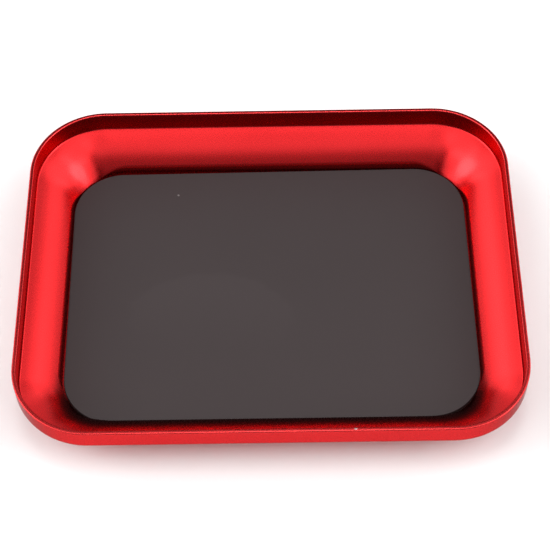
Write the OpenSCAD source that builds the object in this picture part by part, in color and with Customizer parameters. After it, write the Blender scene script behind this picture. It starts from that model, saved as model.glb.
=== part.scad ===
// Magnetic parts tray: a pressed aluminium tray with a flexible magnet sheet stuck in its recess.
// Millimetres, +Z up. The origin is on the bench, under the middle of the tray.

/* [Tray] */
// Overall length over the rim, along X
tray_l = 118; // [96:1:160]
// Overall width over the rim, along Y
tray_w = 92; // [76:1:130]
// Overall height, from the bench to the top of the rim
tray_h = 14.7; // [13.5:0.1:20]
// Outside corner radius of the rim
rim_corner_r = 18; // [16:0.5:24]
// Thickness of the aluminium sheet
sheet_t = 1; // [0.7:0.1:1.2]

/* [Lip] */
// Height of the upright lip, from the crease at its foot to the top of the rim
lip_h = 5.1; // [3:0.1:6]
// Inside bend radius of the crease at the foot of the lip
crease_r = 0.6; // [0.4:0.1:1.6]
// Edge rounding left on the cut rim by tumbling
rim_edge_r = 0.3; // [0.05:0.05:0.3]

/* [Shelf] */
// Slope of the shelf just inside the crease, in degrees from level
shelf_slope = 22; // [14:1:26]
// Radius of the shelf's crown, on its upper face
shelf_r = 24; // [22:0.5:40]

/* [Recess] */
// Distance in plan from the outside of the rim to the wall of the recess
recess_inset = 9.6; // [8:0.1:10]
// Corner radius of the recess
recess_corner_r = 12.8; // [11:0.1:15]
// Radius of the roll from the shelf down into the recess, on the upper face
shoulder_r = 2; // [1.5:0.1:3]
// Radius where the wall of the recess meets its floor, on the upper face
root_r = 0.1; // [0.05:0.01:0.12]

/* [Magnet sheet] */
// Thickness of the magnet sheet
magnet_t = 1.2; // [0.6:0.1:2]
// Gap between each end of the magnet sheet and the wall of the recess
end_play = 0.4; // [0.4:0.05:3]
// Least gap between each long side of the magnet sheet and the wall of the recess
side_play = 0.15; // [0.15:0.05:3]
// How much tighter the sheet's corners are than those of the recess
corner_ease = 0.6; // [0.3:0.1:1]
// How far the sheet was laid out of square, at the ends of its long sides
lay_skew = 0.28; // [0:0.02:0.3]
// Roll that the cutting die leaves on the top edge of the sheet
die_roll_r = 0.2; // [0.05:0.05:0.4]

/* [Adhesive] */
// Thickness of the double-sided film under the magnet sheet
film_t = 0.1; // [0.05:0.05:0.3]

/* [Hidden] */
$fn = 96;

// Straight steps in each bend of a section
bend_steps = 8;

// Sections are drawn with x outwards from the axis of a corner, and y upwards.
// Centres of the bends at the crease, the shelf's crown, the recess and the rim's two edges
crease_y = tray_h - lip_h;
crease_c = [rim_corner_r - sheet_t - crease_r, crease_y + crease_r * tan((90 - shelf_slope) / 2)];
shelf_c = crease_c + (crease_r + shelf_r) * [sin(shelf_slope), -cos(shelf_slope)];
root_c = [recess_corner_r - root_r, sheet_t + root_r];
foot_z = sheet_t + 2 * root_r;
rim_in_c = [rim_corner_r - sheet_t + rim_edge_r, tray_h - rim_edge_r];
rim_out_c = [rim_corner_r - rim_edge_r, tray_h - rim_edge_r];

// The recess has rounder corners than the rim, so its wall comes nearest to a rim corner's axis on the diagonal
recess_l = tray_l - 2 * recess_inset;
recess_w = tray_w - 2 * recess_inset;
axis_shift = recess_inset + recess_corner_r - rim_corner_r;
recess_x = min(rim_corner_r - recess_inset, recess_corner_r - axis_shift * sqrt(2));

// The shoulder rolls out of the shelf's crown along the sides, so the two bends share a tangent there
shoulder_reach = shelf_r - shoulder_r;
shoulder_run = shelf_c.x - (rim_corner_r - recess_inset + shoulder_r);
shoulder_slope = asin(shoulder_run / shoulder_reach);
shoulder_c = [recess_corner_r + shoulder_r, max(foot_z, shelf_c.y + shoulder_reach * cos(shoulder_slope))];

// The magnet sheet and its film, cut together with one die
magnet_l = recess_l - 2 * end_play;
magnet_w = recess_w - 2 * (side_play + lay_skew);
magnet_corner_r = recess_corner_r - corner_ease;
lay_turn = atan(lay_skew / (magnet_l / 2 - magnet_corner_r));
film_z = sheet_t;
magnet_z = film_z + film_t;

// Points of an arc about c, from one angle to another
function bend(c, r, from, to) = [
    for (i = [0 : bend_steps])
        let (a = from + (to - from) * i / bend_steps)
            c + r * [cos(a), sin(a)]
];

// Shelf and crease going up to the lip, on the face that lies a given depth under the upper one.
// The shelf is carried on past the wall of the recess, where the recess cuts it off, but not under the floor.
function drawn_face(depth) =
    let (
        r = shelf_r - depth,
        to_recess = asin((shelf_c.x - recess_x - depth + root_r) / r),
        to_floor = acos((foot_z - depth - shelf_c.y) / r)
    )
        concat(
            bend(shelf_c, r, 90 + min(to_recess, to_floor), 90 + shelf_slope),
            bend(crease_c, crease_r + depth, shelf_slope - 90, 0)
        );

// Foot, wall and shoulder of the recess going up, on the face that lies a given depth under the upper one.
// Past the shoulder the face runs on straight, over the shelf.
function recess_face(depth) =
    let (
        roll = bend(shoulder_c, shoulder_r - depth, 180, 90 + shoulder_slope),
        last = roll[bend_steps],
        run_out = (crease_y - last.y) / tan(shoulder_slope)
    )
        concat(bend(root_c, root_r + depth, -90, 0), roll, [[last.x + run_out, crease_y]]);

// Sweeps a section round a rectangle with round corners, and fills the rectangle inside it
module swept(length, width, corner_r, points) {
    half = [length / 2 - corner_r, width / 2 - corner_r];
    low = points[0].y;
    high = points[len(points) - 1].y;
    section = concat([[0, low]], points, [[0, high]]);
    translate([-half.x, -half.y, low])
        cube([2 * half.x, 2 * half.y, high - low]);
    for (side = [0 : 3]) {
        along = side % 2 == 0 ? half : [half.y, half.x];
        rotate(90 * side)
            translate([along.x, along.y, 0]) {
                rotate_extrude(angle = 90)
                    polygon(section);
                rotate([90, 0, 0])
                    linear_extrude(2 * along.y)
                        polygon(section);
            }
    }
}

// Everything within the lower and outer faces of the sheet
module outer_form() {
    swept(tray_l, tray_w, rim_corner_r, concat(drawn_face(sheet_t), bend(rim_out_c, rim_edge_r, 0, 90)));
    swept(recess_l, recess_w, recess_corner_r, recess_face(sheet_t));
}

// The room inside the tray, above the upper face of the sheet
module inner_form() {
    over_rim = [[rim_in_c.x, tray_h + sheet_t]];
    swept(tray_l, tray_w, rim_corner_r, concat(drawn_face(0), bend(rim_in_c, rim_edge_r, 180, 90), over_rim));
    swept(recess_l, recess_w, recess_corner_r, recess_face(0));
}

// The tray: one sheet, drawn in a press into a lip, a crowned shelf and a recess
module tray_shell() {
    color("crimson")
        difference() {
            outer_form();
            inner_form();
        }
}

// Double-sided film, the same outline as the magnet sheet
module adhesive_film() {
    color("gainsboro")
        translate([0, 0, film_z])
            rotate(lay_turn)
                swept(magnet_l, magnet_w, magnet_corner_r, [[magnet_corner_r, 0], [magnet_corner_r, film_t]]);
}

// Flexible magnet sheet that holds the screws
module magnet_sheet() {
    roll_c = [magnet_corner_r - die_roll_r, magnet_t - die_roll_r];
    color("dimgray")
        translate([0, 0, magnet_z])
            rotate(lay_turn)
                swept(magnet_l, magnet_w, magnet_corner_r,
                    concat([[magnet_corner_r, 0]], bend(roll_c, die_roll_r, 0, 90)));
}

tray_shell();
adhesive_film();
magnet_sheet();
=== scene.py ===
"""Looks of a magnetic parts tray: a red anodised tray with a magnet sheet stuck in its recess."""

import logging
import math
from dataclasses import dataclass
from enum import Enum

import bmesh
import bpy
from mathutils import Matrix, Vector


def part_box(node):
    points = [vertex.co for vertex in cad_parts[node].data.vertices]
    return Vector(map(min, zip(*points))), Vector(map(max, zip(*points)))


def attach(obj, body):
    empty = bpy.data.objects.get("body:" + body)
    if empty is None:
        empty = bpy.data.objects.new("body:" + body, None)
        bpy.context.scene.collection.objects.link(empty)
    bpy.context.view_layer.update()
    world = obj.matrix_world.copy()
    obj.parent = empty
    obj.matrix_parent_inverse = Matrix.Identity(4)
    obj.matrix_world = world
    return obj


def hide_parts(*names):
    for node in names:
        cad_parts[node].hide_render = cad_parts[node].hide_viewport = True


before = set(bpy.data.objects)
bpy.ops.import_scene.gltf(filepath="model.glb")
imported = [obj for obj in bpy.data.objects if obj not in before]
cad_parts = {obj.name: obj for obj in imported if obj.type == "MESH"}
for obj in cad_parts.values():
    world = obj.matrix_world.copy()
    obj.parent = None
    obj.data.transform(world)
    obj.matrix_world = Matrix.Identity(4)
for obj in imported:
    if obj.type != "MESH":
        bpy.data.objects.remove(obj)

MM = 0.001
ROOT_BODY = "root"
PHOTO_WIDTH_PX = 550
# Name of the point attribute that holds how much painted shade the tray's upper face gets.
PAINTED_SHADE_MASK = "painted_shade_mask"
RING_MARK = "ring"
SMOOTH_ANGLE = math.radians(35.0)
UPRIGHT = math.pi / 2

# Octaves of a noise texture, its middle value, and how often the edge of a patch wanders
FINE_DETAIL = 3.0
SLOW_DETAIL = 2.0
NOISE_MIDDLE = 0.5
EDGE_WANDER = 2.5

# Numbers of the colour sockets on a Mix node, which share their names with others
MIX_FACTOR = 0
MIX_FIRST = 6
MIX_SECOND = 7
MIX_RESULT = 2

Colour = tuple[float, float, float]
log = logging.getLogger("parts_tray")


class Slot(Enum):
    """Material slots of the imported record."""

    TRAY = "anodised_aluminium"
    FILM = "adhesive"
    MAGNET = "magnet_rubber"


class Node(Enum):
    """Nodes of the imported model."""

    TRAY = "tray_shell"
    FILM = "adhesive_film"
    MAGNET = "magnet_sheet"


class Socket(Enum):
    """Kinds of socket on a node group."""

    VALUE = "NodeSocketFloat"
    VECTOR = "NodeSocketVector"


def bearing(azimuth: float, elevation: float) -> Vector:
    """Direction from the tray, as a unit vector.

    Args:
        azimuth: Degrees round from the viewer's side, towards +X.
        elevation: Degrees above the bench.

    Returns:
        The direction.
    """
    around, up = math.radians(azimuth), math.radians(elevation)
    return Vector((math.sin(around) * math.cos(up), -math.cos(around) * math.cos(up), math.sin(up)))


def opaque(colour: Colour) -> tuple[float, float, float, float]:
    """Colour with full alpha, as a colour socket takes it."""
    return (*colour, 1.0)


# Modelling helpers


def start_mesh(name: str) -> bpy.types.Object:
    """Makes an empty mesh object at the origin and opens it in edit mode, with nothing else selected.

    Args:
        name: Name of the piece.

    Returns:
        The new object, active and in edit mode.
    """
    bpy.ops.object.select_all(action="DESELECT")
    bpy.ops.mesh.primitive_plane_add(size=1.0, location=(0.0, 0.0, 0.0))
    piece = bpy.context.object
    piece.name = name
    piece.data.name = name
    bpy.ops.object.mode_set(mode="EDIT")
    bpy.ops.mesh.select_all(action="SELECT")
    bpy.ops.mesh.delete(type="VERT")
    return piece


def add_round_plane(length: float, width: float, corner_r: float, steps: int) -> None:
    """Adds a flat rectangle with round corners, at height zero, to the mesh in edit mode.

    Args:
        length: Size along X.
        width: Size along Y.
        corner_r: Radius of the four corners.
        steps: Straight steps in each corner.
    """
    bpy.ops.mesh.select_all(action="DESELECT")
    bpy.ops.mesh.primitive_plane_add(size=1.0, location=(0.0, 0.0, 0.0))
    bpy.ops.transform.resize(value=(length, width, 1.0))
    bpy.ops.mesh.bevel(offset=corner_r, segments=steps, affect="VERTICES", clamp_overlap=False)


def close_mesh(piece: bpy.types.Object) -> None:
    """Turns the faces outwards, leaves edit mode and shades the piece smooth.

    Args:
        piece: The object in edit mode.
    """
    bpy.ops.mesh.select_all(action="SELECT")
    bpy.ops.mesh.normals_make_consistent(inside=False)
    bpy.ops.mesh.select_all(action="DESELECT")
    bpy.ops.object.mode_set(mode="OBJECT")
    bpy.ops.object.shade_smooth_by_angle(angle=SMOOTH_ANGLE)
    weighted = piece.modifiers.new("weighted_normals", "WEIGHTED_NORMAL")
    weighted.keep_sharp = True
    bpy.ops.object.modifier_apply(modifier=weighted.name)


def seat(piece: bpy.types.Object, node: Node) -> None:
    """Puts a finished piece in the place of its node.

    Args:
        piece: The finished object.
        node: The node that it stands for.
    """
    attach(piece, ROOT_BODY)
    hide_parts(node.value)
    log.info("%s: %d faces", piece.name, len(piece.data.polygons))


# Shader helpers


class NodeBench:
    """Adds and wires the nodes of one material or node group."""

    def __init__(self, tree: bpy.types.NodeTree) -> None:
        """Keeps the tree that is worked on."""
        self.tree = tree

    def add(self, kind: str, inputs: dict | None = None, **settings: object) -> bpy.types.Node:
        """Adds a node.

        Args:
            kind: Node type.
            inputs: Values or output sockets by input name or number.
            settings: Attributes of the node.

        Returns:
            The new node.
        """
        made = self.tree.nodes.new(kind)
        for key, value in settings.items():
            setattr(made, key, value)
        for key, value in (inputs or {}).items():
            if isinstance(value, bpy.types.NodeSocket):
                self.tree.links.new(value, made.inputs[key])
            else:
                made.inputs[key].default_value = value
        return made

    def math(self, operation: str, first: object, second: object) -> bpy.types.NodeSocket:
        """Adds a Math node.

        Args:
            operation: Blender's name of the operation.
            first: Value or socket.
            second: Value or socket.

        Returns:
            The result's socket.
        """
        return self.add("ShaderNodeMath", {0: first, 1: second}, operation=operation).outputs[0]

    def group(self, tree: bpy.types.NodeTree, inputs: dict) -> bpy.types.Node:
        """Adds a shared effect.

        Args:
            tree: The effect's node group.
            inputs: Values or output sockets by input name.

        Returns:
            The new node.
        """
        return self.add("ShaderNodeGroup", inputs, node_tree=tree)

    def vector(self, operation: str, first: object, second: object) -> bpy.types.Node:
        """Adds a Vector Math node.

        Args:
            operation: Blender's name of the operation.
            first: Vector or socket.
            second: Vector or socket.

        Returns:
            The new node.
        """
        return self.add("ShaderNodeVectorMath", {0: first, 1: second}, operation=operation)

    def noise(self, vector: object, scale: object, detail: float) -> bpy.types.NodeSocket:
        """Adds a noise texture.

        Args:
            vector: Socket of the coordinates.
            scale: Value or socket.
            detail: Octaves of the noise.

        Returns:
            The noise's socket, about 0.5.
        """
        made = self.add("ShaderNodeTexNoise", {"Vector": vector, "Scale": scale, "Detail": detail})
        return made.outputs["Fac"]

    def ramp(
        self, value: object, low: object, high: float, to_low: float, to_high: float
    ) -> bpy.types.NodeSocket:
        """Maps a value from one range to another, clamped, with a soft start and end.

        Args:
            value: Socket to map.
            low: Value or socket that becomes to_low.
            high: Value that becomes to_high.
            to_low: Result at low.
            to_high: Result at high.

        Returns:
            The result's socket.
        """
        made = self.add(
            "ShaderNodeMapRange",
            {"Value": value, "From Min": low, "From Max": high, "To Min": to_low, "To Max": to_high},
            interpolation_type="SMOOTHSTEP",
        )
        return made.outputs["Result"]

    def mix(self, factor: object, first: object, second: object) -> bpy.types.NodeSocket:
        """Mixes two colours.

        Args:
            factor: Share of the second colour.
            first: Colour or socket.
            second: Colour or socket.

        Returns:
            The mixed colour's socket.
        """
        sockets = {MIX_FACTOR: factor, MIX_FIRST: first, MIX_SECOND: second}
        return self.add("ShaderNodeMix", sockets, data_type="RGBA").outputs[MIX_RESULT]


def new_group(
    name: str, takes: dict[str, Socket], gives: dict[str, Socket]
) -> tuple[NodeBench, bpy.types.Node, bpy.types.Node]:
    """Makes an empty shader node group.

    Args:
        name: Name of the group.
        takes: Input sockets.
        gives: Output sockets.

    Returns:
        A bench on the group's tree, its input node and its output node.
    """
    tree = bpy.data.node_groups.new(name, "ShaderNodeTree")
    for label, kind in takes.items():
        tree.interface.new_socket(label, in_out="INPUT", socket_type=kind.value)
    for label, kind in gives.items():
        tree.interface.new_socket(label, in_out="OUTPUT", socket_type=kind.value)
    bench = NodeBench(tree)
    return bench, bench.add("NodeGroupInput"), bench.add("NodeGroupOutput")


class SharedEffects:
    """Node groups that more than one finish uses."""

    def __init__(self) -> None:
        """Builds each group once."""
        self.grain = self._grain()
        self.specks = self._specks()
        self.patch = self._patch()

    @staticmethod
    def _grain() -> bpy.types.NodeTree:
        """Fine even grain with a slow mottle over it.

        Returns:
            The group. Height is the grain's relief and Mottle a slow variation, both about 0.5.
        """
        takes = {"Vector": Socket.VECTOR, "Grain scale": Socket.VALUE, "Mottle scale": Socket.VALUE}
        gives = {"Height": Socket.VALUE, "Mottle": Socket.VALUE}
        bench, start, end = new_group("fine_grain", takes, gives)
        fine = bench.noise(start.outputs["Vector"], start.outputs["Grain scale"], FINE_DETAIL)
        slow = bench.noise(start.outputs["Vector"], start.outputs["Mottle scale"], SLOW_DETAIL)
        bench.tree.links.new(fine, end.inputs["Height"])
        bench.tree.links.new(slow, end.inputs["Mottle"])
        return bench.tree

    @staticmethod
    def _specks() -> bpy.types.NodeTree:
        """Sparse specks of dust.

        Returns:
            The group. Mask is 1 on a speck.
        """
        takes = {"Vector": Socket.VECTOR, "Scale": Socket.VALUE, "Size": Socket.VALUE, "Share": Socket.VALUE}
        bench, start, end = new_group("dust_specks", takes, {"Mask": Socket.VALUE})
        cells = bench.add(
            "ShaderNodeTexVoronoi",
            {"Vector": start.outputs["Vector"], "Scale": start.outputs["Scale"]},
            voronoi_dimensions="2D",
        )
        split = bench.add("ShaderNodeSeparateColor", {"Color": cells.outputs["Color"]})
        chosen = bench.math("LESS_THAN", split.outputs["Red"], start.outputs["Share"])
        reach = bench.math("MULTIPLY", split.outputs["Green"], start.outputs["Size"])
        near = bench.math("LESS_THAN", cells.outputs["Distance"], reach)
        bench.tree.links.new(bench.math("MULTIPLY", chosen, near), end.inputs["Mask"])
        return bench.tree

    @staticmethod
    def _patch() -> bpy.types.NodeTree:
        """Oval patch with an uneven edge.

        Returns:
            The group. Mask is 1 in the patch and Across runs from -1 to 1 over it, along Y.
        """
        takes = {
            "Vector": Socket.VECTOR,
            "Centre": Socket.VECTOR,
            "Reach": Socket.VECTOR,
            "Softness": Socket.VALUE,
            "Unevenness": Socket.VALUE,
        }
        bench, start, end = new_group("oval_patch", takes, {"Mask": Socket.VALUE, "Across": Socket.VALUE})
        apart = bench.vector("SUBTRACT", start.outputs["Vector"], start.outputs["Centre"])
        place = bench.vector("DIVIDE", apart.outputs["Vector"], start.outputs["Reach"])
        out = bench.vector("LENGTH", place.outputs["Vector"], (0.0, 0.0, 0.0))
        wander = bench.noise(place.outputs["Vector"], EDGE_WANDER, FINE_DETAIL)
        swing = bench.math("SUBTRACT", wander, NOISE_MIDDLE)
        uneven = bench.math("MULTIPLY", swing, start.outputs["Unevenness"])
        edge = bench.math("ADD", out.outputs["Value"], uneven)
        inner = bench.math("SUBTRACT", 1.0, start.outputs["Softness"])
        mask = bench.ramp(edge, inner, 1.0, 1.0, 0.0)
        split = bench.add("ShaderNodeSeparateXYZ", {"Vector": place.outputs["Vector"]})
        bench.tree.links.new(mask, end.inputs["Mask"])
        bench.tree.links.new(split.outputs["Y"], end.inputs["Across"])
        return bench.tree


def new_material(name: str) -> tuple[bpy.types.Material, NodeBench, bpy.types.Node, bpy.types.NodeSocket]:
    """Makes a material with a Principled shader.

    Args:
        name: Name of the material.

    Returns:
        The material, a bench on its tree, its shader and its Object coordinates.
    """
    material = bpy.data.materials.new(name)
    material.use_nodes = True
    bench = NodeBench(material.node_tree)
    shader = material.node_tree.nodes["Principled BSDF"]
    coords = bench.add("ShaderNodeTexCoord").outputs["Object"]
    return material, bench, shader, coords


@dataclass(frozen=True)
class AnodisedRed:
    """Blasted aluminium, dyed red in its oxide film and sealed."""

    dye: Colour = (0.72, 0.019, 0.022)
    dye_deep: Colour = (0.66, 0.0145, 0.0175)
    bare: Colour = (0.85, 0.55, 0.55)
    nick_at: tuple[float, float, float] = (18.7 * MM, -45.4 * MM, 14.7 * MM)
    nick_reach: tuple[float, float, float] = (0.45 * MM, 0.3 * MM, 0.4 * MM)
    nick_softness: float = 0.4
    nick_unevenness: float = 0.3
    edge_tint: Colour = (0.45, 0.4, 0.4)
    # Paler red along the top of the rim: partly wear of the dye, partly a painted highlight.
    wear_and_sheen: Colour = (0.80, 0.10, 0.10)
    wear_and_sheen_from: float = 14.35 * MM
    wear_and_sheen_to: float = 14.65 * MM
    wear_and_sheen_share: float = 0.22
    # Colour of the painted shade beside the magnet sheet.
    painted_shade: Colour = (0.08, 0.004, 0.004)
    roughness: float = 0.27
    roughness_swing: float = 0.012
    seal_coat: float = 0.2
    seal_roughness: float = 0.2
    grain_span: tuple[float, float] = (0.3, 0.7)
    grain_per_m: float = 3200.0
    mottle_per_m: float = 60.0
    grain_depth: float = 0.0008 * MM

    def make(self, effects: SharedEffects) -> bpy.types.Material:
        """Builds the material.

        Args:
            effects: The shared node groups.

        Returns:
            The finished material.
        """
        material, bench, shader, coords = new_material("anodised_red")
        scales = {"Vector": coords, "Grain scale": self.grain_per_m, "Mottle scale": self.mottle_per_m}
        grain = bench.group(effects.grain, scales)
        dyed = bench.mix(grain.outputs["Mottle"], opaque(self.dye_deep), opaque(self.dye))
        nick = bench.group(
            effects.patch,
            {
                "Vector": coords,
                "Centre": self.nick_at,
                "Reach": self.nick_reach,
                "Softness": self.nick_softness,
                "Unevenness": self.nick_unevenness,
            },
        )
        height = bench.add("ShaderNodeSeparateXYZ", {"Vector": coords}).outputs["Z"]
        # Paler towards the top of the rim: partly wear, partly a painted highlight.
        rim_wear_and_sheen = bench.ramp(height, self.wear_and_sheen_from, self.wear_and_sheen_to, 0.0, self.wear_and_sheen_share)
        wear_and_sheen = bench.mix(rim_wear_and_sheen, dyed, opaque(self.wear_and_sheen))
        nicked = bench.mix(nick.outputs["Mask"], wear_and_sheen, opaque(self.bare))
        # Painted shade: the upper face is darkened beside the magnet sheet, most of all along the viewer's
        # side.
        painted_shade_mask = bench.add("ShaderNodeAttribute", attribute_name=PAINTED_SHADE_MASK).outputs["Fac"]
        colour = bench.mix(painted_shade_mask, nicked, opaque(self.painted_shade))
        low, high = self.roughness - self.roughness_swing, self.roughness + self.roughness_swing
        rough = bench.ramp(grain.outputs["Height"], *self.grain_span, low, high)
        bump = bench.add("ShaderNodeBump", {"Height": grain.outputs["Height"], "Distance": self.grain_depth})
        shader.inputs["Metallic"].default_value = 1.0
        shader.inputs["Specular Tint"].default_value = opaque(self.edge_tint)
        shader.inputs["Coat Weight"].default_value = self.seal_coat
        shader.inputs["Coat Roughness"].default_value = self.seal_roughness
        bench.tree.links.new(colour, shader.inputs["Base Color"])
        bench.tree.links.new(rough, shader.inputs["Roughness"])
        bench.tree.links.new(bump.outputs["Normal"], shader.inputs["Normal"])
        return material


@dataclass(frozen=True)
class MagnetRubber:
    """Bare ferrite-filled rubber, matt and dark."""

    rubber: Colour = (0.036, 0.0265, 0.0272)
    rubber_deep: Colour = (0.033, 0.0242, 0.0249)
    rub: Colour = (0.047, 0.0365, 0.0373)
    cut_edge: Colour = (0.060, 0.044, 0.042)
    # Colour of the dust specks, and of the pale streaks of painted highlight along the cut edge.
    dust_and_sheen: Colour = (0.16, 0.14, 0.14)
    face_z: float = 2.3 * MM
    edge_from: float = 0.35 * MM
    edge_to: float = 0.15 * MM
    rub_at: tuple[float, float, float] = (-15.0 * MM, -8.0 * MM, 2.3 * MM)
    rub_reach: tuple[float, float, float] = (21.0 * MM, 13.5 * MM, 10.0 * MM)
    rub_softness: float = 0.12
    rub_unevenness: float = 0.35
    rub_fade: tuple[float, float] = (-0.9, 0.8)
    rub_strength: float = 0.3
    specks_per_m: float = 85.0
    speck_size: float = 0.05
    speck_share: float = 0.07
    # Pale streaks of painted highlight along the cut edge of the sheet.
    sheen_streaks_per_m: float = 700.0
    sheen_streak_span: tuple[float, float] = (0.62, 0.72)
    roughness: float = 0.55
    specular: float = 0.3
    grain_per_m: float = 1800.0
    mottle_per_m: float = 45.0
    grain_depth: float = 0.01 * MM

    def make(self, effects: SharedEffects) -> bpy.types.Material:
        """Builds the material.

        Args:
            effects: The shared node groups.

        Returns:
            The finished material.
        """
        material, bench, shader, coords = new_material("magnet_rubber")
        scales = {"Vector": coords, "Grain scale": self.grain_per_m, "Mottle scale": self.mottle_per_m}
        grain = bench.group(effects.grain, scales)
        plain = bench.mix(grain.outputs["Mottle"], opaque(self.rubber_deep), opaque(self.rubber))
        rub = bench.group(
            effects.patch,
            {
                "Vector": coords,
                "Centre": self.rub_at,
                "Reach": self.rub_reach,
                "Softness": self.rub_softness,
                "Unevenness": self.rub_unevenness,
            },
        )
        fade = bench.ramp(rub.outputs["Across"], *self.rub_fade, 0.0, self.rub_strength)
        rubbed = bench.mix(bench.math("MULTIPLY", rub.outputs["Mask"], fade), plain, opaque(self.rub))
        specks = bench.group(
            effects.specks,
            {
                "Vector": coords,
                "Scale": self.specks_per_m,
                "Size": self.speck_size,
                "Share": self.speck_share,
            },
        )
        dusty = bench.mix(specks.outputs["Mask"], rubbed, opaque(self.dust_and_sheen))
        height = bench.add("ShaderNodeSeparateXYZ", {"Vector": coords}).outputs["Z"]
        cut = bench.ramp(height, self.face_z - self.edge_from, self.face_z - self.edge_to, 1.0, 0.0)
        # Painted highlight: pale streaks along the cut edge, in the colour of the dust.
        sheen_streaks = bench.noise(coords, self.sheen_streaks_per_m, SLOW_DETAIL)
        painted_sheen = bench.ramp(sheen_streaks, *self.sheen_streak_span, 0.0, 1.0)
        edge = bench.mix(painted_sheen, opaque(self.cut_edge), opaque(self.dust_and_sheen))
        colour = bench.mix(cut, dusty, edge)
        bump = bench.add("ShaderNodeBump", {"Height": grain.outputs["Height"], "Distance": self.grain_depth})
        shader.inputs["Roughness"].default_value = self.roughness
        shader.inputs["Specular IOR Level"].default_value = self.specular
        bench.tree.links.new(colour, shader.inputs["Base Color"])
        bench.tree.links.new(bump.outputs["Normal"], shader.inputs["Normal"])
        return material


@dataclass(frozen=True)
class PaleFilm:
    """Double-sided film, seen only at its cut edge."""

    film: Colour = (0.62, 0.60, 0.56)
    film_deep: Colour = (0.50, 0.48, 0.45)
    roughness: float = 0.6
    grain_per_m: float = 900.0
    mottle_per_m: float = 120.0

    def make(self, effects: SharedEffects) -> bpy.types.Material:
        """Builds the material.

        Args:
            effects: The shared node groups.

        Returns:
            The finished material.
        """
        material, bench, shader, coords = new_material("pale_film")
        scales = {"Vector": coords, "Grain scale": self.grain_per_m, "Mottle scale": self.mottle_per_m}
        grain = bench.group(effects.grain, scales)
        colour = bench.mix(grain.outputs["Mottle"], opaque(self.film_deep), opaque(self.film))
        shader.inputs["Roughness"].default_value = self.roughness
        bench.tree.links.new(colour, shader.inputs["Base Color"])
        return material


# The pieces


@dataclass(frozen=True)
class Station:
    """One ring of the tray's skin.

    Attributes:
        inset: Distance in plan from the outside of the rim.
        corner_r: Corner radius of the ring.
        height: Height of the ring, or None where it lies on the shelf or its shoulder.
        depth: For a ring on the shelf or its shoulder, how far under the upper face it lies.
    """

    inset: float
    corner_r: float
    height: float | None
    depth: float = 0.0


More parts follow.
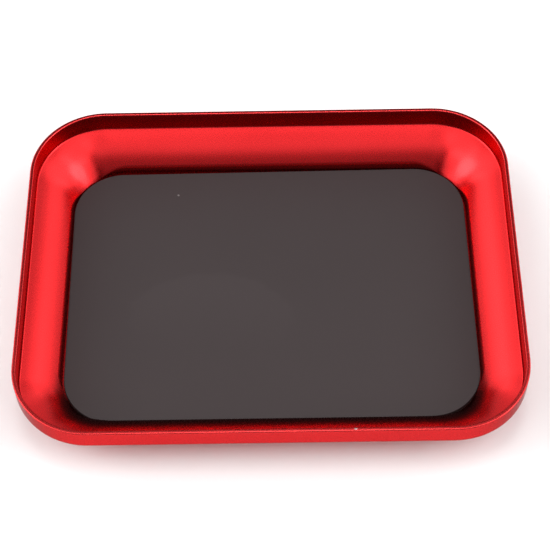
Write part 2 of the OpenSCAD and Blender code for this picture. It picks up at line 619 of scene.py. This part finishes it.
@dataclass
class TrayShell:
    """The drawn tray: lip, crease, crowned shelf and recess, in one sheet. Sizes are in metres.

    The shelf and the wall of the recess carry painted shade beside the magnet sheet,
    most of all along the viewer's side.

    Attributes:
        shade_reach: How far that painted shade reaches from the wall of the recess, at the sides.
        shade_reach_front: How far it reaches at the front.
        shade_fade: Power by which it fades over its reach.
        shade_sides: Strength of the painted shade at the sides.
        shade_front: Shares of the half width between which the sides go over to the front.
        shade_full: Share of that change at which the painted shade has its full strength.
    """

    length: float
    width: float
    height: float
    rim_corner_r: float = 18.0 * MM
    sheet: float = 1.0 * MM
    lip: float = 5.1 * MM
    crease_r: float = 0.6 * MM
    rim_edge_r: float = 0.3 * MM
    shelf_slope: float = math.radians(22.0)
    shelf_r: float = 24.0 * MM
    recess_inset: float = 9.6 * MM
    recess_corner_r: float = 12.8 * MM
    shoulder_r: float = 2.0 * MM
    root_r: float = 0.1 * MM
    # Reach and strength of the painted shade beside the magnet sheet.
    shade_reach: float = 0.3 * MM
    shade_reach_front: float = 4.2 * MM
    shade_fade: int = 4
    shade_sides: float = 0.2
    shade_front: tuple[float, float] = (0.5, 0.8)
    shade_full: float = 0.5
    corner_steps: int = 24
    bend_steps: int = 6
    shelf_steps: int = 10

    def __post_init__(self) -> None:
        """Works out the centres of the bends, as inset and height."""
        crease_rise = self.crease_r * math.tan((UPRIGHT - self.shelf_slope) / 2)
        self.crease_c = Vector((self.sheet + self.crease_r, self.height - self.lip + crease_rise))
        crown = Vector((-math.sin(self.shelf_slope), -math.cos(self.shelf_slope)))
        self.shelf_c = self.crease_c + (self.crease_r + self.shelf_r) * crown
        self.root_c = Vector((self.recess_inset + self.root_r, self.sheet + self.root_r))
        roll_inset = self.recess_inset - self.shoulder_r
        self.shoulder_slope = math.asin((roll_inset - self.shelf_c.x) / (self.shelf_r - self.shoulder_r))
        rise = (self.shelf_r - self.shoulder_r) * math.cos(self.shoulder_slope)
        self.shoulder_c = Vector((roll_inset, self.shelf_c.y + rise))
        self.shoulder_run = self.shoulder_r * (1.0 - math.sin(self.shoulder_slope))

    def _inset_at(self, x: float, y: float, inset: float, corner_r: float) -> float:
        """Inset of a point of the plan, measured square to an outline with round corners.

        Args:
            x: Place along the length.
            y: Place along the width.
            inset: Inset of the outline from the outside of the rim.
            corner_r: Corner radius of the outline.

        Returns:
            The point's inset, which equals that of the outline where the point is on it.
        """
        along_x = abs(x) - self.length / 2 + inset + corner_r
        along_y = abs(y) - self.width / 2 + inset + corner_r
        out = math.hypot(max(along_x, 0.0), max(along_y, 0.0)) + min(max(along_x, along_y), 0.0)
        return inset + corner_r - out

    def skin_height(self, x: float, y: float, depth: float) -> float:
        """Height of the shelf, or of its shoulder where that is lower, over a point of the plan.

        Args:
            x: Place along the length.
            y: Place along the width.
            depth: How far under the upper face.

        Returns:
            The height above the bench.
        """
        across = self._inset_at(x, y, 0.0, self.rim_corner_r) - self.shelf_c.x
        shelf = self.shelf_c.y + math.sqrt((self.shelf_r - depth) ** 2 - across**2)
        over = self._inset_at(x, y, self.recess_inset, self.recess_corner_r) - self.shoulder_c.x
        if over < self.shoulder_r - self.shoulder_run - depth * math.sin(self.shoulder_slope):
            return shelf
        roll = self.shoulder_c.y + math.sqrt(max((self.shoulder_r - depth) ** 2 - over**2, 0.0))
        return min(shelf, roll)

    def _bend(self, centre: Vector, radius: float, start: float, stop: float) -> list[tuple[float, float]]:
        """Inset and height of points on a bend, by the slope that the sheet has there.

        Args:
            centre: Centre of the bend, above the sheet.
            radius: Radius of the bend.
            start: First slope.
            stop: Last slope.

        Returns:
            Pairs of inset and height.
        """
        slopes = [start + (stop - start) * i / self.bend_steps for i in range(self.bend_steps + 1)]
        return [(centre.x - radius * math.sin(a), centre.y - radius * math.cos(a)) for a in slopes]

    def _face(self, depth: float) -> list[Station]:
        """Rings of one face of the sheet, from the floor up to the lip.

        Args:
            depth: How far the face lies under the upper one.

        Returns:
            The rings, in order.
        """
        foot = self._bend(self.root_c, self.root_r + depth, 0.0, UPRIGHT)
        crease = self._bend(self.crease_c, self.crease_r + depth, self.shelf_slope, UPRIGHT)
        recess_axis = self.recess_corner_r + self.recess_inset
        rings = [Station(u, recess_axis - u, z) for u, z in foot]
        for i in range(self.bend_steps + 1):
            slope = UPRIGHT + (self.shoulder_slope - UPRIGHT) * i / self.bend_steps
            inset = self.shoulder_c.x + (self.shoulder_r - depth) * math.sin(slope)
            rings.append(Station(inset, recess_axis - inset, None, depth))
        inner, inner_r = rings[-1].inset, rings[-1].corner_r
        outer, outer_r = crease[0][0], self.rim_corner_r - crease[0][0]
        for i in range(1, self.shelf_steps):
            share = i / self.shelf_steps
            inset = inner + (outer - inner) * share
            rings.append(Station(inset, inner_r + (outer_r - inner_r) * share, None, depth))
        rings += [Station(u, self.rim_corner_r - u, z) for u, z in crease]
        return rings

    def _rim(self) -> list[Station]:
        """Rings over the rounded edge of the rim, from the outside to the inside.

        Returns:
            The rings, in order.
        """
        rings = []
        for centre, first in ((self.rim_edge_r, math.pi), (self.sheet - self.rim_edge_r, UPRIGHT)):
            for i in range(self.bend_steps + 1):
                turn = first - UPRIGHT * i / self.bend_steps
                inset = centre + self.rim_edge_r * math.cos(turn)
                height = self.height - self.rim_edge_r + self.rim_edge_r * math.sin(turn)
                rings.append(Station(inset, self.rim_corner_r - inset, height))
        return rings

    def _lay_ring(self, mesh: bpy.types.Mesh, number: int, station: Station) -> None:
        """Adds one ring of edges to the mesh.

        Args:
            mesh: The mesh in edit mode.
            number: Number that marks the ring's points.
            station: Where the ring lies.
        """
        size = 2 * station.inset
        add_round_plane(self.length - size, self.width - size, station.corner_r, self.corner_steps)
        shape = bmesh.from_edit_mesh(mesh)
        mark = shape.verts.layers.int[RING_MARK]
        for point in shape.verts:
            point.select = point[mark] == 0
            if point.select:
                point[mark] = number
                point.co.z = self._ring_height(point.co, station)
        shape.select_flush(True)
        bmesh.update_edit_mesh(mesh)
        bpy.ops.mesh.delete(type="ONLY_FACE")

    def _ring_height(self, point: Vector, station: Station) -> float:
        """Height of one point of a ring.

        Args:
            point: Place of the point in plan.
            station: The ring.

        Returns:
            The height above the bench.
        """
        if station.height is None:
            return self.skin_height(point.x, point.y, station.depth)
        return station.height

    @staticmethod
    def _select_rings(mesh: bpy.types.Mesh, numbers: tuple[int, ...]) -> None:
        """Selects the points of some rings and the edges between them.

        Args:
            mesh: The mesh in edit mode.
            numbers: The rings' numbers.
        """
        bpy.ops.mesh.select_all(action="DESELECT")
        shape = bmesh.from_edit_mesh(mesh)
        mark = shape.verts.layers.int[RING_MARK]
        for point in shape.verts:
            point.select = point[mark] in numbers
        shape.select_flush(True)
        bmesh.update_edit_mesh(mesh)

    def build(self) -> bpy.types.Object:
        """Models the shell ring by ring and bridges the rings.

        Returns:
            The finished object.
        """
        piece = start_mesh("drawn_tray")
        mesh = piece.data
        bmesh.from_edit_mesh(mesh).verts.layers.int.new(RING_MARK)
        lower = self._face(self.sheet)
        upper = self._face(0.0)
        rings = lower + self._rim() + upper[::-1]
        for number, station in enumerate(rings, start=1):
            self._lay_ring(mesh, number, station)
        for number in range(1, len(rings)):
            self._select_rings(mesh, (number, number + 1))
            bpy.ops.mesh.bridge_edge_loops()
        for number in (1, len(rings)):
            self._select_rings(mesh, (number,))
            bpy.ops.mesh.edge_face_add()
        close_mesh(piece)
        self._paint_shade(mesh, len(rings))
        return piece

    def _paint_shade(self, mesh: bpy.types.Mesh, last_ring: int) -> None:
        """Writes down how much painted shade the upper face gets beside the magnet sheet.

        Args:
            mesh: The finished mesh.
            last_ring: Number of the ring round the upper face of the floor.
        """
        mask = mesh.attributes.new(PAINTED_SHADE_MASK, "FLOAT", "POINT")
        underside = last_ring - len(self._face(0.0))
        start, full = self.shade_front
        for ring, point, place in zip(mesh.attributes[RING_MARK].data, mesh.vertices, mask.data):
            forward = -point.co.y / (self.width / 2)
            share = min(max((forward - start) / (full - start), 0.0), 1.0)
            reach = self.shade_reach + (self.shade_reach_front - self.shade_reach) * share
            amount = self.shade_sides + (1.0 - self.shade_sides) * min(share / self.shade_full, 1.0)
            inset = self._inset_at(point.co.x, point.co.y, self.recess_inset, self.recess_corner_r)
            away = max(self.recess_inset - inset, 0.0)
            mark = amount * max(1.0 - (away / reach) ** self.shade_fade, 0.0)
            place.value = mark if ring.value > underside else 0.0

    def dress(self, piece: bpy.types.Object, finish: bpy.types.Material) -> None:
        """Gives the shell its finish and its place.

        Args:
            piece: The built object.
            finish: The anodised material.
        """
        piece.data.materials.append(finish)
        seat(piece, Node.TRAY)


@dataclass
class MagnetSheet:
    """The die-cut magnet sheet. Sizes are in metres."""

    low: float
    high: float
    length: float = 98.0 * MM
    width: float = 71.94 * MM
    corner_r: float = 12.2 * MM
    lay_skew: float = 0.28 * MM
    die_roll: float = 0.2 * MM
    die_roll_steps: int = 3
    corner_steps: int = 20

    def build(self) -> bpy.types.Object:
        """Models the sheet and lays it a little out of square.

        Returns:
            The finished object.
        """
        piece = start_mesh("magnet_pad")
        add_round_plane(self.length, self.width, self.corner_r, self.corner_steps)
        bpy.ops.mesh.select_all(action="SELECT")
        bpy.ops.transform.translate(value=(0.0, 0.0, self.low))
        lift = {"value": (0.0, 0.0, self.high - self.low)}
        bpy.ops.mesh.extrude_region_move(TRANSFORM_OT_translate=lift)
        bpy.ops.mesh.bevel(offset=self.die_roll, segments=self.die_roll_steps, affect="EDGES")
        close_mesh(piece)
        piece.rotation_euler.z = math.atan(self.lay_skew / (self.length / 2 - self.corner_r))
        bpy.ops.object.transform_apply(location=False, rotation=True, scale=False)
        return piece

    def dress(self, piece: bpy.types.Object, finish: bpy.types.Material) -> None:
        """Gives the sheet its finish and its place.

        Args:
            piece: The built object.
            finish: The rubber material.
        """
        piece.data.materials.append(finish)
        seat(piece, Node.MAGNET)


def dress_film(finish: bpy.types.Material) -> None:
    """Gives the film's own node its finish.

    Args:
        finish: The film material.
    """
    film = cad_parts[Node.FILM.value]
    film.data.materials.clear()
    film.data.materials.append(finish)
    log.info("%s keeps its shape", film.name)


# The stage


@dataclass(frozen=True)
class Lamp:
    """A broad soft light far away.

    Attributes:
        name: Name of the lamp.
        azimuth: Degrees round from the viewer's side, towards +X.
        elevation: Degrees above the bench.
        spread: Width of the light as seen from the tray, in degrees.
        strength: Light on a surface that faces the lamp, in watts per square metre.
    """

    name: str
    azimuth: float
    elevation: float
    spread: float
    strength: float

    def hang(self) -> None:
        """Adds the lamp to the scene."""
        source = bearing(self.azimuth, self.elevation)
        bpy.ops.object.light_add(type="SUN", location=source)
        lamp = bpy.context.object
        lamp.name = self.name
        lamp.data.angle = math.radians(self.spread)
        lamp.data.energy = self.strength
        lamp.rotation_euler = source.to_track_quat("Z", "Y").to_euler()


LAMPS = (
    Lamp("right_key", 78.0, 35.0, 26.0, 0.78),
    Lamp("left_key", 271.0, 34.0, 28.0, 0.94),
    Lamp("right_front", 52.0, 38.0, 32.0, 0.32),
    Lamp("left_front", 302.0, 38.0, 38.0, 0.46),
    Lamp("right_softbox", 105.0, 40.0, 40.0, 0.56),
    Lamp("left_softbox", 252.0, 41.0, 40.0, 0.40),
    Lamp("right_top", 70.0, 62.0, 36.0, 0.50),
    Lamp("left_top", 290.0, 62.0, 36.0, 0.50),
    Lamp("right_back", 128.0, 38.0, 40.0, 0.20),
    Lamp("left_back", 232.0, 38.0, 40.0, 0.30),
    Lamp("right_low", 126.0, 21.0, 28.0, 0.19),
    Lamp("left_low", 234.0, 21.0, 28.0, 0.22),
    Lamp("right_edge", 92.0, 15.0, 32.0, 0.17),
    Lamp("left_edge", 268.0, 15.0, 32.0, 0.17),
    Lamp("right_corner", 68.0, 17.0, 26.0, 0.15),
    Lamp("left_corner", 292.0, 17.0, 26.0, 0.15),
    Lamp("right_far", 155.0, 24.0, 34.0, 0.22),
    Lamp("left_far", 205.0, 24.0, 34.0, 0.22),
    Lamp("overhead", 0.0, 71.0, 36.0, 0.28),
    Lamp("over_viewer", 0.0, 52.0, 34.0, 0.09),
    Lamp("over_back", 180.0, 72.0, 22.0, 0.17),
    Lamp("viewer_fill", 0.0, 20.0, 36.0, 0.05),
    Lamp("zenith", 180.0, 83.0, 14.0, 0.42),
    Lamp("backdrop", 180.0, 8.0, 24.0, 0.08),
)


@dataclass(frozen=True)
class Stage:
    """Pale floor in dark surroundings, so that all light comes from the lamps."""

    floor_size: float = 12.0
    floor_colour: Colour = (0.55, 0.55, 0.55)
    floor_seen: Colour = (0.85, 0.85, 0.85)
    ambient: float = 0.0

    def build(self) -> None:
        """Lays the floor and sets the world."""
        bpy.ops.object.select_all(action="DESELECT")
        bpy.ops.mesh.primitive_plane_add(size=self.floor_size, location=(0.0, 0.0, 0.0))
        floor = bpy.context.object
        floor.name = "floor"
        floor.data.materials.append(self._floor_finish())
        world = bpy.data.worlds.new("studio")
        world.use_nodes = True
        world.node_tree.nodes["Background"].inputs["Strength"].default_value = self.ambient
        bpy.context.scene.world = world

    def _floor_finish(self) -> bpy.types.Material:
        """Matt floor that the camera, gloss and glass see as white, outside the object's shadow.

        Returns:
            The finished material.
        """
        material, bench, shader, _ = new_material("pale_floor")
        surface = material.node_tree.nodes["Material Output"].inputs["Surface"]
        path = bench.add("ShaderNodeLightPath").outputs
        mirrored = bench.math("MAXIMUM", path["Is Glossy Ray"], path["Is Transmission Ray"])
        seen = bench.math("MAXIMUM", path["Is Camera Ray"], mirrored)
        colour = bench.mix(seen, opaque(self.floor_colour), opaque(self.floor_seen))
        matt = bench.add("ShaderNodeBsdfDiffuse", {"Color": colour})
        material.node_tree.nodes.remove(shader)
        bench.tree.links.new(matt.outputs["BSDF"], surface)
        return material


@dataclass(frozen=True)
class Viewpoint:
    """The photograph's camera. Lengths are in metres, angles in degrees."""

    focal_px: float = 1596.2
    distance: float = 375.9 * MM
    elevation: float = 56.2
    azimuth: float = 0.55
    roll: float = -1.3
    aim_x: float = 1.2 * MM
    aim_y: float = -4.19 * MM
    sensor_mm: float = 36.0
    near_limit: float = 10.0 * MM

    def place(self, rim_height: float) -> None:
        """Adds the camera and makes it the scene's own.

        Args:
            rim_height: Height of the plane that the camera aims at.
        """
        roll = math.radians(self.roll)
        back = bearing(self.azimuth, self.elevation)
        level = Vector((0.0, 0.0, 1.0)).cross(back).normalized()
        above = back.cross(level)
        right = level * math.cos(roll) + above * math.sin(roll)
        top = above * math.cos(roll) - level * math.sin(roll)
        pose = Matrix((right, top, back)).transposed().to_4x4()
        pose.translation = Vector((self.aim_x, self.aim_y, rim_height)) + back * self.distance
        bpy.ops.object.camera_add()
        camera = bpy.context.object
        camera.name = "viewpoint"
        camera.matrix_world = pose
        camera.data.sensor_width = self.sensor_mm
        camera.data.lens = self.focal_px / PHOTO_WIDTH_PX * self.sensor_mm
        camera.data.clip_start = self.near_limit
        bpy.context.scene.camera = camera


def main() -> None:
    """Builds the pieces and the stage in order."""
    logging.basicConfig(level=logging.INFO, format="%(name)s: %(message)s")
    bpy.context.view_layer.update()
    tray_low, tray_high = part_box(Node.TRAY.value)
    magnet_low, magnet_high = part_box(Node.MAGNET.value)
    tray_size = tray_high - tray_low
    effects = SharedEffects()

    tray = TrayShell(tray_size.x, tray_size.y, tray_size.z)
    tray.dress(tray.build(), AnodisedRed().make(effects))
    magnet = MagnetSheet(magnet_low.z, magnet_high.z)
    magnet.dress(magnet.build(), MagnetRubber().make(effects))
    dress_film(PaleFilm().make(effects))

    Stage().build()
    for lamp in LAMPS:
        lamp.hang()
    Viewpoint().place(tray_high.z)
    bpy.context.scene.view_settings.view_transform = "Standard"


if __name__ == "__main__":
    main()
